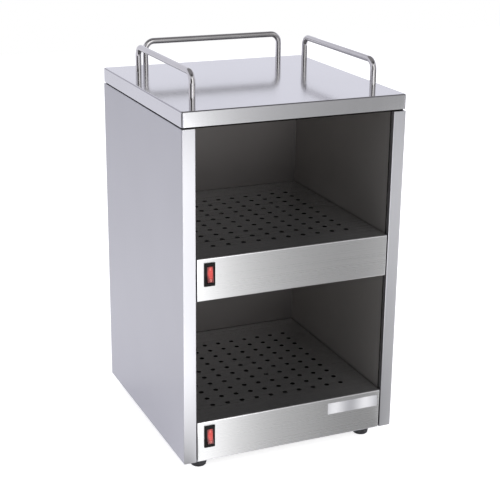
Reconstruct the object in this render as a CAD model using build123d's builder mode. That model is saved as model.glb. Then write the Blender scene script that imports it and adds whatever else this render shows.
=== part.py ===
from build123d import *

import os
from math import acos, cos, pi, radians, sin

# Two-shelf cup warmer in stainless sheet: double-walled sides, a lid with three bent rod rails,
# two perforated heated shelves with a lit rocker switch each, and four rubber feet.
# Millimetres. +X is to the right, +Y to the rear and +Z up. The origin is on the floor, under the
# middle of the cabinet, and the open bays face -Y.

# Cabinet
width = 300.0
depth = 305.0
fascia_height = 55.0
bay_height = 164.0
foot_clearance = 18.0
wall_width = 17.0
rear_cavity = 24.5
sheet = 1.0
bend_radius = 1.5
return_depth = 7.0
liner_gap = 1.5
liner_flange = 8.0
rear_flange = 13.0
fit_gap = 0.2

# Lid and ceiling
lid_height = 19.0
lid_gap = 2.3
lid_edge_radius = 2.0
lid_corner_radius = 3.5
ceiling_inset = 2.5
boss_diameter = 9.0
boss_inset = 50.0
ceiling_screw_inset = 50.0

# Rails on the lid
rail_diameter = 8.0
rail_height = 37.3
rail_length = 198.5
rail_bend = 12.0
side_rail_inset = 28.0
side_rail_y = -15.0
rear_rail_inset = 30.0
rail_stud_length = 11.0
washer_diameter = 10.0
washer_thickness = 1.0

# Shelves
shelf_gap = 1.5
lip_depth = 12.0
fascia_return = 10.0
deck_rear_flange = 12.0
tray_rear_flange = 15.0
tray_lip = 10.0
hole_diameter = 6.5
hole_spacing = 20.8
hole_columns = 10
hole_rows = 10
first_row_inset = 42.0
shelf_screw_inset = 60.0
lip_screw_spacing = 92.0

# Rocker switches
bezel_width = 14.0
bezel_height = 30.0
bezel_thickness = 2.0
bezel_edge_radius = 0.6
switch_drop = 20.9
switch_inset = 18.0
switch_body_width = 11.8
switch_body_height = 27.4
switch_body_depth = 18.0
rocker_width = 8.0
rocker_reach = 11.0
rocker_side_gap = 0.25
rocker_end_gap = 0.3
rocker_room = 12.0
rocker_face = 5.0
rocker_waist = 3.3
rocker_root = 4.5
rocker_tail = 2.0
rocker_edge_radius = 0.7
rocker_tilt = 9.0
pivot_behind_bezel = 3.5
pin_diameter = 2.4
pin_length = 1.0
pin_clearance = 0.05
tab_width = 4.8
tab_thickness = 0.8
tab_length = 8.0
tab_spacing = 8.0

# Heating elements
heater_diameter = 6.5
heater_spacing = 45.0
heater_length = 180.0
heater_bend = 22.0
heater_rear_gap = 50.0
heater_height = 28.0
heater_clearance = 0.1
bracket_spacing = 100.0
bracket_overhang = 15.0
bracket_foot = 10.0
bush_diameter = 10.0
bush_length = 12.0
stud_diameter = 3.0
stud_length = 7.0
thermostat_diameter = 16.0
thermostat_height = 9.0
thermostat_inset = 45.0
thermostat_ear = 6.0
ear_width = 8.0
thermostat_tab = 7.0

# Wiring
cable_entry_inset = 55.0
cable_entry_height = 46.0
gland_thread = 16.0
gland_across_flats = 22.0
gland_flange = 6.0
gland_thread_length = 10.0
locknut_thickness = 4.0
gland_bore = 11.0
seal_diameter = 13.0
seal_length = 8.0
cable_bore = 8.0
cap_length = 14.0
cap_mouth = 10.0
cap_edge_radius = 3.5
block_width = 30.0
block_depth = 14.0
block_height = 22.0
block_from_switch = 75.0
block_rise = 22.0
block_pole_spacing = 9.0
block_screw_hole = 5.0
block_screw_depth = 4.0
harness_diameter = 5.0
harness_bend = 9.0
harness_stand_off = 10.0
harness_rise = 30.0
grommet_diameter = 16.0
grommet_hole = 12.0
clip_width = 12.0
clip_margin = 3.0
clip_foot = 8.0
clip_spacing = 68.0
lead_diameter = 2.5
lead_bend = 5.0
lead_spacing = 8.0
earth_screw_x = 0.0
earth_screw_length = 12.0
wiring_cover_flange = 12.0
cover_screw_spacing = 150.0

# Badge plate and feet
badge_width = 74.0
badge_height = 15.5
badge_thickness = 0.6
badge_corner_radius = 1.0
badge_inset = 5.5
badge_drop = 6.5
foot_top = 25.0
foot_bottom = 20.0
foot_land = 4.0
foot_edge = 1.0
foot_side_gap = 0.8
foot_end_gap = 3.5
foot_recess = 11.0
foot_recess_depth = 9.0

# Fasteners: thread, pan head and hexagon nut
m4 = 4.0
m4_head = 8.0
m4_head_height = 2.4
m4_flush_head = 8.0
m4_nut = 7.0
m4_nut_height = 3.2
m5 = 5.0
m5_head = 9.5
m5_head_height = 3.0
m5_nut = 8.0
m5_nut_height = 4.0
screw_short = 6.0
screw_long = 8.0
thread_end = 1.0
hole_clearance = 0.5
thread_clearance = 0.05
rivet_diameter = 3.2
rivet_head = 6.4
rivet_head_height = 1.2
rivet_inset = 65.0
rear_screw_inset = 35.0

# Levels and planes worked out from the sizes above
front = -depth / 2
rear = depth / 2
level_height = fascia_height + bay_height
levels = {"lower": foot_clearance, "upper": foot_clearance + level_height}
sides = {"left": -1, "right": 1}
panel_top = foot_clearance + 2 * level_height - lid_gap
liner_low = foot_clearance + sheet
liner_high = panel_top - sheet
lid_top = panel_top + lid_gap + lid_height
lid_underside = lid_top - sheet
bay_half = width / 2 - wall_width
bay_rear = rear - rear_cavity
wall_back = bay_rear + sheet
rear_panel_inside = rear - 2 * sheet
rear_panel_outside = rear - sheet
deck_half = bay_half - shelf_gap
deck_rear = bay_rear - shelf_gap
tray_half = bay_half - fit_gap
tray_front = front + fascia_return + liner_gap
tray_rear = bay_rear - fit_gap
switch_x = -bay_half + switch_inset
harness_y = wall_back + harness_stand_off
cable_entry_x = -width / 2 + cable_entry_inset
gland_z = foot_clearance + cable_entry_height
block_x = switch_x + block_from_switch
block_bottom = foot_clearance + block_rise
block_top = block_bottom + block_height
earth_screw_z = (block_bottom + block_top) / 2

# Directions
UP = (0, 0, 1)
DOWN = (0, 0, -1)
BACK = (0, 1, 0)
FORWARD = (0, -1, 0)

# Fastener places, shared by the sheets and by what goes through them
rail_feet = {
    "left_rail": [(-width / 2 + side_rail_inset, side_rail_y + s * rail_length / 2) for s in (-1, 1)],
    "rear_rail": [(s * rail_length / 2, rear - rear_rail_inset) for s in (-1, 1)],
    "right_rail": [(width / 2 - side_rail_inset, side_rail_y + s * rail_length / 2) for s in (-1, 1)],
}
rail_points = [point for feet in rail_feet.values() for point in feet]
lid_screw_points = [(sx * (width / 2 - boss_inset), sy * (depth / 2 - boss_inset))
                    for sx in (-1, 1) for sy in (-1, 1)]
side_middle = width / 2 - (wall_width + sheet) / 2
ceiling_screw_points = [(sx * side_middle, sy * (depth / 2 - ceiling_screw_inset))
                        for sx in (-1, 1) for sy in (-1, 1)]
panel_middle = (foot_clearance + panel_top) / 2
rear_screw_heights = (foot_clearance + rear_screw_inset, panel_middle, panel_top - rear_screw_inset)
rear_screw_points = [(sx * side_middle, z) for sx in (-1, 1) for z in rear_screw_heights]
cover_screw_points = [(sx * cover_screw_spacing / 2, foot_clearance + sheet + wiring_cover_flange / 2)
                      for sx in (-1, 1)]
shelf_screw_points = [(y, level + fascia_height / 2) for level in levels.values()
                      for y in (front + shelf_screw_inset, bay_rear - shelf_screw_inset)]
lip_screw_points = [(step * lip_screw_spacing, front + (lip_depth + sheet) / 2) for step in (-1, 0, 1)]
rivet_points = [(wall_back + liner_flange / 2, z)
                for z in (foot_clearance + rivet_inset, panel_middle, panel_top - rivet_inset)]
foot_x = tray_half - foot_side_gap - foot_top / 2
foot_points = {
    "front_left": (-foot_x, front + lip_depth + foot_end_gap + foot_top / 2),
    "front_right": (foot_x, front + lip_depth + foot_end_gap + foot_top / 2),
    "rear_left": (-foot_x, tray_rear - foot_end_gap - foot_top / 2),
    "rear_right": (foot_x, tray_rear - foot_end_gap - foot_top / 2),
}


def save(builder, name):
    """Labels a finished piece and writes it under its own name."""
    builder.part.label = name
    export_step(builder.part, f"parts/{name}.step")


def block(x_range, y_range, z_range, mode=Mode.ADD):
    """A box between two planes on each axis, in the part being built."""
    middle = [(a + b) / 2 for a, b in (x_range, y_range, z_range)]
    size = [abs(b - a) for a, b in (x_range, y_range, z_range)]
    with Locations(Location(tuple(middle))):
        Box(*size, mode=mode)


def rod(start, direction, diameter, length, mode=Mode.ADD):
    """A round bar, or a round hole, from a point along a direction."""
    with BuildSketch(Plane(origin=start, z_dir=direction)) as section:
        Circle(diameter / 2)
    extrude(section.sketch, amount=length, mode=mode)


def hole(start, direction, diameter, length=sheet):
    """A round hole through one sheet, or deeper where a length is given."""
    rod(start, direction, diameter, length, mode=Mode.SUBTRACT)


def hexagon(start, direction, across_flats, length):
    """A hexagonal prism from a point along a direction."""
    with BuildSketch(Plane(origin=start, z_dir=direction)) as section:
        RegularPolygon(across_flats / 2, 6, major_radius=False)
    extrude(section.sketch, amount=length)


def tube(points, bend, diameter):
    """A round wire or bar along straight runs joined by arcs."""
    with BuildLine() as path:
        FilletPolyline(*points, radius=bend)
    route = path.wires()[0]
    with BuildSketch(Plane(origin=route @ 0, z_dir=route % 0)) as section:
        Circle(diameter / 2)
    sweep(section.sketch, path=route)


def pan_screws(places, thread, length, head, head_height):
    """Pan-head screws with a cross recess; a place is the point under the head and the way out."""
    for point, outward in places:
        inward = tuple(-c for c in outward)
        rod(point, outward, head, head_height)
        rod(point, inward, thread, length)
        top = Vector(*point) + Vector(*outward) * head_height
        rim = faces().sort_by_distance(top)[0].edges().filter_by(GeomType.CIRCLE)
        fillet(rim, head_height / 2)
        with BuildSketch(Plane(origin=top, z_dir=outward)) as cross:
            Rectangle(head / 2, head / 8)
            Rectangle(head / 8, head / 2)
        extrude(cross.sketch, amount=-head_height / 2, mode=Mode.SUBTRACT)


def countersink(point, inward, head, thread, mode=Mode.SUBTRACT):
    """A 90 degree cone from the outer face inwards, down to the thread's diameter."""
    with Locations(Plane(origin=point, z_dir=inward).location):
        Cone(head / 2, thread / 2, (head - thread) / 2,
             align=(Align.CENTER, Align.CENTER, Align.MIN), mode=mode)


def flush_screws(places, thread, length, head):
    """Countersunk screws with a cross recess; a place is the middle of the flush head and the way out."""
    for point, outward in places:
        inward = tuple(-c for c in outward)
        countersink(point, inward, head, thread, mode=Mode.ADD)
        rod(point, inward, thread, length)
        with BuildSketch(Plane(origin=point, z_dir=outward)) as cross:
            Rectangle(head / 2, head / 8)
            Rectangle(head / 8, head / 2)
        extrude(cross.sketch, amount=-(head - thread) / 4, mode=Mode.SUBTRACT)


def nuts(places, thread, across_flats, height):
    """Hexagon nuts; a place is the point on the seat and the direction away from it."""
    for point, outward in places:
        hexagon(point, outward, across_flats, height)
        hole(point, outward, thread + 2 * thread_clearance, height)


os.makedirs("parts", exist_ok=True)

# Lid: a folded tray, upside down, with rail holes and four threaded bosses under it
with BuildPart() as lid:
    block((-width / 2, width / 2), (front, rear), (panel_top + lid_gap, lid_top))
    fillet(lid.edges().filter_by(Axis.Z), lid_corner_radius)
    fillet(lid.faces().sort_by(Axis.Z)[-1].edges(), lid_edge_radius)
    offset(amount=-sheet, openings=lid.faces().sort_by(Axis.Z)[0])
    for x, y in lid_screw_points:
        rod((x, y, lid_underside), DOWN, boss_diameter, lid_underside - panel_top - sheet)
        hole((x, y, panel_top + sheet), UP, m4 + 2 * thread_clearance, screw_long + thread_end)
    for x, y in rail_points:
        hole((x, y, lid_top), DOWN, m5 + hole_clearance)
save(lid, "lid")

# Rails: round bar bent twice, with a threaded stud below each foot
for name, (first, last) in rail_feet.items():
    bar = lid_top + rail_height
    with BuildPart() as rail:
        tube([(*first, lid_top), (*first, bar), (*last, bar), (*last, lid_top)], rail_bend, rail_diameter)
        for x, y in (first, last):
            rod((x, y, lid_top), DOWN, m5, rail_stud_length)
    save(rail, name)

with BuildPart() as rail_washers:
    for x, y in rail_points:
        rod((x, y, lid_underside), DOWN, washer_diameter, washer_thickness)
        hole((x, y, lid_underside), DOWN, m5 + hole_clearance, washer_thickness)
save(rail_washers, "rail_washers")

# Ceiling tray: closes the upper bay, ties the sides together and carries the lid on its rim
with BuildPart() as ceiling_tray:
    reach_x = width / 2 - ceiling_inset
    reach_y = depth / 2 - ceiling_inset
    block((-reach_x, reach_x), (-reach_y, reach_y), (panel_top, lid_underside))
    fillet(ceiling_tray.edges().filter_by(Axis.Z), bend_radius)
    block((sheet - reach_x, reach_x - sheet), (sheet - reach_y, reach_y - sheet),
          (panel_top + sheet, lid_underside), mode=Mode.SUBTRACT)
    for x, y in lid_screw_points + ceiling_screw_points:
        hole((x, y, panel_top), UP, m4 + hole_clearance)
save(ceiling_tray, "ceiling_tray")

with BuildPart() as lid_screws:
    pan_screws([((x, y, panel_top), DOWN) for x, y in lid_screw_points],
               m4, screw_long, m4_head, m4_head_height)
save(lid_screws, "lid_screws")

with BuildPart() as ceiling_screws:
    pan_screws([((x, y, panel_top + sheet), UP) for x, y in ceiling_screw_points],
               m4, screw_long, m4_head, m4_head_height)
save(ceiling_screws, "ceiling_screws")

# Side panels: outer skin folded inwards on all four edges, with a short return at the front
for side, sign in sides.items():
    outer = sign * width / 2
    inner = sign * bay_half
    with BuildPart() as side_panel:
        block((outer, inner), (front, rear), (foot_clearance, panel_top))
        skin = side_panel.faces().filter_by(Axis.X).sort_by(Axis.X)[-1 if sign > 0 else 0]
        fillet(skin.edges(), bend_radius)
        block((outer - sign * sheet, inner), (front + sheet, rear - sheet), (liner_low, liner_high),
              mode=Mode.SUBTRACT)
        block((inner, inner + sign * sheet), (front, front + return_depth), (foot_clearance, panel_top))
        for x, z in rear_screw_points:
            if x * sign > 0:
                hole((x, rear, z), FORWARD, m4 + hole_clearance)
        for x, y in ceiling_screw_points:
            if x * sign > 0:
                hole((x, y, panel_top), DOWN, m4 + hole_clearance)
    save(side_panel, f"{side}_side_panel")

# Inner side walls: the skins of the bays, folded into the hollow sides at the front and the rear
for side, sign in sides.items():
    inner = sign * bay_half
    wall_front = front + return_depth + liner_gap
    with BuildPart() as inner_wall:
        block((inner, inner + sign * sheet), (wall_front, rear_panel_inside), (liner_low, liner_high))
        block((inner, inner + sign * liner_flange), (wall_front, wall_front + sheet), (liner_low, liner_high))
        block((inner, inner + sign * rear_flange), (rear_panel_inside - sheet, rear_panel_inside),
              (liner_low, liner_high))
        bends = inner_wall.edges().filter_by(Axis.Z).group_by(Axis.X)[0 if sign > 0 else -1]
        fillet(bends, sheet)
        for y, z in shelf_screw_points:
            hole((inner, y, z), (sign, 0, 0), m4 + hole_clearance)
        for y, z in rivet_points:
            hole((inner, y, z), (sign, 0, 0), rivet_diameter + 2 * thread_clearance)
        for x, z in rear_screw_points:
            if x * sign > 0:
                hole((x, rear_panel_inside, z), FORWARD, m4 + 2 * thread_clearance)
    save(inner_wall, f"{side}_inner_wall")

# Inner rear wall: folded back at both sides, with a hole for the wires of each shelf
with BuildPart() as rear_inner_wall:
    block((-bay_half, bay_half), (bay_rear, wall_back), (liner_low, liner_high))
    for sign in sides.values():
        block((sign * bay_half, sign * (bay_half - sheet)), (bay_rear, wall_back + liner_flange),
              (liner_low, liner_high))
        for y, z in rivet_points:
            hole((sign * bay_half, y, z), (-sign, 0, 0), rivet_diameter + 2 * thread_clearance)
    for level in levels.values():
        hole((switch_x, bay_rear, level + harness_rise), BACK, grommet_hole)
    hole((earth_screw_x, bay_rear, earth_screw_z), BACK, m4 + hole_clearance)
save(rear_inner_wall, "rear_inner_wall")

with BuildPart() as liner_rivets:
    for sign in sides.values():
        for y, z in rivet_points:
            inside = sign * (bay_half - sheet)
            outside = sign * (bay_half + sheet)
            rod((inside, y, z), (sign, 0, 0), rivet_diameter, 2 * sheet)
            rod((inside, y, z), (-sign, 0, 0), rivet_head, rivet_head_height)
            rod((outside, y, z), (sign, 0, 0), rivet_head, rivet_head_height)
save(liner_rivets, "liner_rivets")

# Rear panel: lies inside the rear flanges of the sides
with BuildPart() as rear_panel:
    reach = width / 2 - sheet - fit_gap
    block((-reach, reach), (rear_panel_inside, rear_panel_outside),
          (liner_low + fit_gap, liner_high - fit_gap))
    for x, z in rear_screw_points + cover_screw_points:
        hole((x, rear_panel_inside, z), BACK, m4 + hole_clearance)
    hole((cable_entry_x, rear_panel_inside, gland_z), BACK, gland_thread + fit_gap)
save(rear_panel, "rear_panel")

# Wiring cover: closes the hollow between the two rear walls from below
with BuildPart() as wiring_cover:
    reach = bay_half - sheet - fit_gap
    cover_back = rear_panel_inside - fit_gap
    block((-tray_half, tray_half), (bay_rear, rear_panel_outside), (foot_clearance, liner_low))
    block((-reach, reach), (cover_back - sheet, cover_back),
          (foot_clearance, liner_low + wiring_cover_flange))
    for x, z in cover_screw_points:
        hole((x, cover_back, z), FORWARD, m4 + 2 * thread_clearance)
save(wiring_cover, "wiring_cover")

with BuildPart() as rear_screws:
    pan_screws([((x, rear, z), BACK) for x, z in rear_screw_points]
               + [((x, rear_panel_outside, z), BACK) for x, z in cover_screw_points],
               m4, screw_short, m4_head, m4_head_height)
save(rear_screws, "rear_screws")

# Shelves: a deck folded down into the fascia, on a tray that holds the heater
for name, level in levels.items():
    deck_top = level + fascia_height
    switch_z = deck_top - switch_drop
    with BuildPart() as deck:
        block((-deck_half, deck_half), (front, deck_rear), (deck_top - sheet, deck_top))
        block((-deck_half, deck_half), (front, front + sheet), (level, deck_top))
        block((-deck_half, deck_half), (front, front + lip_depth), (level, level + sheet))
        block((-deck_half, deck_half), (deck_rear - sheet, deck_rear),
              (deck_top - deck_rear_flange, deck_top))
        for sign in sides.values():
            block((sign * deck_half, sign * (deck_half - sheet)), (front, front + fascia_return),
                  (level, deck_top))
        fillet(deck.faces().sort_by(Axis.Y)[0].edges(), bend_radius)
        field_middle = front + first_row_inset + (hole_rows - 1) * hole_spacing / 2
        with Locations((0, field_middle, deck_top)):
            with GridLocations(hole_spacing, hole_spacing, hole_columns, hole_rows):
                Hole(hole_diameter / 2, depth=sheet)
        cut_half_width = switch_body_width / 2 + fit_gap
        cut_half_height = switch_body_height / 2 + fit_gap
        block((switch_x - cut_half_width, switch_x + cut_half_width), (front, front + sheet),
              (switch_z - cut_half_height, switch_z + cut_half_height), mode=Mode.SUBTRACT)
        for x, y in lip_screw_points:
            countersink((x, y, level), UP, m4_flush_head + 2 * thread_clearance, m4 + 2 * thread_clearance)
    save(deck, f"{name}_shelf_deck")

for name, level in levels.items():
    tray_rim = level + fascia_height - sheet
    floor = (level + sheet, level + 2 * sheet)
    tongue_half = deck_half - sheet - fit_gap
    rim_rear = deck_rear - sheet - fit_gap
    with BuildPart() as tray:
        block((-tray_half, tray_half), (tray_front, tray_rear), floor)
        block((-tongue_half, tongue_half), (front + sheet + fit_gap, tray_front), floor)
        block((-tray_half, tray_half), (tray_rear - sheet, tray_rear), (floor[0], level + tray_rear_flange))
        for sign in sides.values():
            block((sign * tray_half, sign * (tray_half - sheet)), (tray_front, rim_rear),
                  (floor[0], tray_rim))
            block((sign * tray_half, sign * (tray_half - tray_lip)), (tray_front, rim_rear),
                  (tray_rim - sheet, tray_rim))
            for y, z in shelf_screw_points:
                if floor[0] < z < tray_rim:
                    hole((sign * tray_half, y, z), (-sign, 0, 0), m4 + hole_clearance)
        for x, y in lip_screw_points:
            countersink((x, y, level), UP, m4_flush_head + 2 * thread_clearance, m4 + 2 * thread_clearance)
        if name == "lower":
            for x, y in foot_points.values():
                hole((x, y, floor[0]), UP, m5 + hole_clearance)
    save(tray, f"{name}_shelf_tray")

with BuildPart() as shelf_screws:
    pan_screws([((sign * (tray_half - sheet), y, z), (-sign, 0, 0))
                for sign in sides.values() for y, z in shelf_screw_points],
               m4, screw_long, m4_head, m4_head_height)
save(shelf_screws, "shelf_screws")

with BuildPart() as lip_screws:
    flush_screws([((x, y, level), DOWN) for level in levels.values() for x, y in lip_screw_points],
                 m4, screw_short, m4_flush_head)
save(lip_screws, "lip_screws")

# Heating elements: one tube folded into four runs, in two comb brackets, with ceramic ends
run_xs = [(i - 1.5) * heater_spacing for i in range(4)]
heater_rear = bay_rear - heater_rear_gap
heater_front = heater_rear - heater_length
heater_middle = (heater_front + heater_rear) / 2
stud_end = heater_rear + bush_length + stud_length
for name, level in levels.items():
    z = level + heater_height
    with BuildPart() as heater:
        tube([(run_xs[0], heater_rear, z), (run_xs[0], heater_front, z), (run_xs[1], heater_front, z),
              (run_xs[1], heater_rear, z), (run_xs[2], heater_rear, z), (run_xs[2], heater_front, z),
              (run_xs[3], heater_front, z), (run_xs[3], heater_rear, z)], heater_bend, heater_diameter)
    save(heater, f"{name}_heater")

    with BuildPart() as terminals:
        for x in (run_xs[0], run_xs[3]):
            rod((x, heater_rear, z), BACK, bush_diameter, bush_length)
            rod((x, heater_rear + bush_length, z), BACK, stud_diameter, stud_length)
    save(terminals, f"{name}_heater_terminals")

for name, level in levels.items():
    floor_top = level + 2 * sheet
    for place, step in (("front", -0.5), ("rear", 0.5)):
        y = heater_middle + step * bracket_spacing
        half = run_xs[3] + bracket_overhang
        with BuildPart() as bracket:
            block((-half, half), (y, y + sheet), (floor_top, level + heater_height + heater_diameter))
            block((-half, half), (y, y + bracket_foot), (floor_top, floor_top + sheet))
            for x in run_xs:
                hole((x, y, level + heater_height), BACK, heater_diameter + 2 * heater_clearance)
        save(bracket, f"{name}_{place}_heater_bracket")

# Thermostats: a round can on two ears, with two tabs on top
thermostat_y = bay_rear - thermostat_inset
thermostat_tab_x = thermostat_diameter / 4
for name, level in levels.items():
    seat = level + 2 * sheet
    can_top = seat + thermostat_height
    ear_half = thermostat_diameter / 2 + thermostat_ear
    with BuildPart() as thermostat:
        rod((0, thermostat_y, seat), UP, thermostat_diameter, thermostat_height)
        fillet(thermostat.faces().sort_by(Axis.Z)[-1].edges(), sheet)
        block((-ear_half, ear_half), (thermostat_y - ear_width / 2, thermostat_y + ear_width / 2),
              (seat, seat + sheet))
        for sign in sides.values():
            x = sign * thermostat_tab_x
            block((x - tab_thickness / 2, x + tab_thickness / 2),
                  (thermostat_y - tab_width / 2, thermostat_y + tab_width / 2),
                  (can_top, can_top + thermostat_tab))
    save(thermostat, f"{name}_thermostat")

# Rocker switches: a black body with a bezel, a red rocker on two pins, and three tabs behind
bezel_front = front - bezel_thickness
pivot_y = bezel_front + pivot_behind_bezel
body_rear = front + switch_body_depth
room_half_width = rocker_width / 2 + rocker_side_gap
room_half_height = rocker_reach + rocker_end_gap
pin_half = room_half_width + pin_length
for name, level in levels.items():
    z = level + fascia_height - switch_drop
    with BuildPart() as switch_body:
        block((switch_x - bezel_width / 2, switch_x + bezel_width / 2), (bezel_front, front),
              (z - bezel_height / 2, z + bezel_height / 2))
        fillet(switch_body.faces().sort_by(Axis.Y)[0].edges(), bezel_edge_radius)
        block((switch_x - switch_body_width / 2, switch_x + switch_body_width / 2), (front, body_rear),
              (z - switch_body_height / 2, z + switch_body_height / 2))
        block((switch_x - room_half_width, switch_x + room_half_width),
              (bezel_front, bezel_front + rocker_room),
              (z - room_half_height, z + room_half_height), mode=Mode.SUBTRACT)
        hole((switch_x - pin_half, pivot_y, z), (1, 0, 0), pin_diameter + 2 * pin_clearance, 2 * pin_half)
    save(switch_body, f"{name}_switch_body")

# The rocker's side view faces -X, with its upper end pressed in; both ends are arcs about the pivot
tilt = radians(rocker_tilt)
corner_rise = (rocker_reach**2 - rocker_face**2) ** 0.5
end_angle = (acos(rocker_face / rocker_reach) + pi / 2) / 2
arc_x = rocker_reach * cos(end_angle)
arc_y = rocker_reach * sin(end_angle)
for name, level in levels.items():
    z = level + fascia_height - switch_drop
    side_view = Plane(origin=(switch_x, pivot_y, z), x_dir=(0, -cos(tilt), sin(tilt)), z_dir=(-1, 0, 0))
    with BuildPart() as rocker:
        with BuildSketch(side_view):
            with BuildLine():
                Polyline((rocker_face, corner_rise), (rocker_waist, 0), (rocker_face, -corner_rise))
                ThreePointArc((rocker_face, -corner_rise), (arc_x, -arc_y), (0, -rocker_reach))
                Polyline((0, -rocker_reach), (-rocker_tail, rocker_tail - rocker_reach), (-rocker_root, 0),
                         (-rocker_tail, rocker_reach - rocker_tail), (0, rocker_reach))
                ThreePointArc((0, rocker_reach), (arc_x, arc_y), (rocker_face, corner_rise))
            make_face()
        extrude(amount=rocker_width / 2, both=True)
        fillet(rocker.edges().filter_by(Axis.X).sort_by(Axis.Y)[0:3], rocker_edge_radius)
        rod((switch_x - pin_half + pin_clearance, pivot_y, z), (1, 0, 0), pin_diameter,
            2 * (pin_half - pin_clearance))
    save(rocker, f"{name}_rocker")

    with BuildPart() as tabs:
        for step in (-1, 0, 1):
            tab_z = z + step * tab_spacing
            block((switch_x - tab_width / 2, switch_x + tab_width / 2), (body_rear, body_rear + tab_length),
                  (tab_z - tab_thickness / 2, tab_z + tab_thickness / 2))
    save(tabs, f"{name}_switch_tabs")

# Cable gland in the rear panel: body, locknut, seal and cap, for a mains lead
gland_shoulder = rear_panel_outside + gland_flange
gland_mouth = gland_shoulder + gland_thread_length
seal_start = gland_mouth - seal_length
cap_start = gland_shoulder + fit_gap
with BuildPart() as gland_body:
    hexagon((cable_entry_x, rear_panel_outside, gland_z), BACK, gland_across_flats, gland_flange)
    rod((cable_entry_x, rear_panel_outside, gland_z), FORWARD, gland_thread, gland_thread_length)
    rod((cable_entry_x, gland_shoulder, gland_z), BACK, gland_thread, gland_thread_length)
    hole((cable_entry_x, gland_mouth, gland_z), FORWARD, gland_bore, 2 * gland_thread_length + gland_flange)
    hole((cable_entry_x, gland_mouth, gland_z), FORWARD, seal_diameter + 2 * thread_clearance, seal_length)
save(gland_body, "gland_body")

with BuildPart() as gland_locknut:
    nuts([((cable_entry_x, rear_panel_inside, gland_z), FORWARD)], gland_thread, gland_across_flats,
         locknut_thickness)
save(gland_locknut, "gland_locknut")

with BuildPart() as gland_seal:
    rod((cable_entry_x, seal_start, gland_z), BACK, seal_diameter, seal_length)
    hole((cable_entry_x, seal_start, gland_z), BACK, cable_bore, seal_length)
save(gland_seal, "gland_seal")

with BuildPart() as gland_cap:
    rod((cable_entry_x, cap_start, gland_z), BACK, gland_across_flats, cap_length)
    fillet(gland_cap.faces().sort_by(Axis.Y)[-1].edges(), cap_edge_radius)
    hole((cable_entry_x, cap_start, gland_z), BACK, gland_thread + 2 * thread_clearance,
         gland_thread_length)
    hole((cable_entry_x, cap_start, gland_z), BACK, cap_mouth, cap_length)
save(gland_cap, "gland_cap")

# Terminal block and earth screw on the inner rear wall
with BuildPart() as terminal_block:
    block((block_x - block_width / 2, block_x + block_width / 2), (wall_back, wall_back + block_depth),
          (block_bottom, block_top))
    fillet(terminal_block.faces().sort_by(Axis.Y)[-1].edges(), sheet)
    with Locations(Plane(origin=(block_x, wall_back + block_depth, earth_screw_z), z_dir=BACK)):
        with GridLocations(block_pole_spacing, block_height / 2, 3, 2):
            Hole(block_screw_hole / 2, depth=block_screw_depth)
save(terminal_block, "terminal_block")

with BuildPart() as earth_screw:
    pan_screws([((earth_screw_x, bay_rear, earth_screw_z), FORWARD)],
               m4, earth_screw_length, m4_head, m4_head_height)
save(earth_screw, "earth_screw")

# Sheathed wires from the terminal block, through a grommet in the rear wall, to each switch
harness_end = body_rear + tab_length
for name, level in levels.items():
    z = level + harness_rise
    with BuildPart() as grommet:
        rod((switch_x, bay_rear - sheet, z), BACK, grommet_diameter, sheet)
        rod((switch_x, bay_rear, z), BACK, grommet_hole - 2 * thread_clearance, sheet)
        rod((switch_x, wall_back, z), BACK, grommet_diameter, sheet)
        hole((switch_x, bay_rear - sheet, z), BACK, harness_diameter + 2 * thread_clearance, 3 * sheet)
    save(grommet, f"{name}_wire_grommet")

    if name == "lower":
        start = [(block_x - block_width / 2, harness_y, z)]
    else:
        start = [(block_x, harness_y, block_top), (block_x, harness_y, z)]
    with BuildPart() as harness:
        tube([*start, (switch_x, harness_y, z), (switch_x, harness_end, z)], harness_bend, harness_diameter)
    save(harness, f"{name}_harness")

# Clips: an upright tab with a hole for the wires, folded from a foot on the sheet that carries it
with BuildPart() as harness_clips:
    for level in levels.values():
        floor_top = level + 2 * sheet
        z = level + harness_rise
        clip_xs = (switch_x - clip_width / 2, switch_x + clip_width / 2)
        block(clip_xs, (heater_middle, heater_middle + sheet),
              (floor_top, z + harness_diameter / 2 + clip_margin))
        block(clip_xs, (heater_middle, heater_middle + clip_foot), (floor_top, floor_top + sheet))
        hole((switch_x, heater_middle, z), BACK, harness_diameter + 2 * thread_clearance)
    for z in (block_top + clip_spacing, block_top + 2 * clip_spacing):
        clip_xs = (block_x - clip_width / 2, block_x + clip_width / 2)
        block(clip_xs, (wall_back, harness_y + harness_diameter / 2 + clip_margin), (z, z + sheet))
        block(clip_xs, (wall_back, wall_back + sheet), (z, z + clip_foot))
        hole((block_x, harness_y, z), UP, harness_diameter + 2 * thread_clearance)
save(harness_clips, "harness_clips")

# Leads in each shelf: stud to harness, stud to thermostat, thermostat to harness
first_turn_y = stud_end + lead_spacing
second_turn_y = first_turn_y + lead_spacing
sheath_x = switch_x + harness_diameter / 2
for name, level in levels.items():
    stud_z = level + heater_height
    sheath_z = level + harness_rise
    tab_z = level + 2 * sheet + thermostat_height + thermostat_tab / 2
    tab_y = thermostat_y + tab_width / 2
    with BuildPart() as leads:
        tube([(run_xs[0], stud_end, stud_z), (run_xs[0], first_turn_y, stud_z),
              (sheath_x, first_turn_y, stud_z)], lead_bend, lead_diameter)
        tube([(run_xs[3], stud_end, stud_z), (run_xs[3], first_turn_y, stud_z),
              (thermostat_tab_x, first_turn_y, stud_z), (thermostat_tab_x, first_turn_y, tab_z),
              (thermostat_tab_x, tab_y, tab_z)], lead_bend, lead_diameter)
        tube([(-thermostat_tab_x, tab_y, tab_z), (-thermostat_tab_x, second_turn_y, tab_z),
              (-thermostat_tab_x, second_turn_y, sheath_z), (sheath_x, second_turn_y, sheath_z)],
             lead_bend, lead_diameter)
    save(leads, f"{name}_heater_leads")

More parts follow.
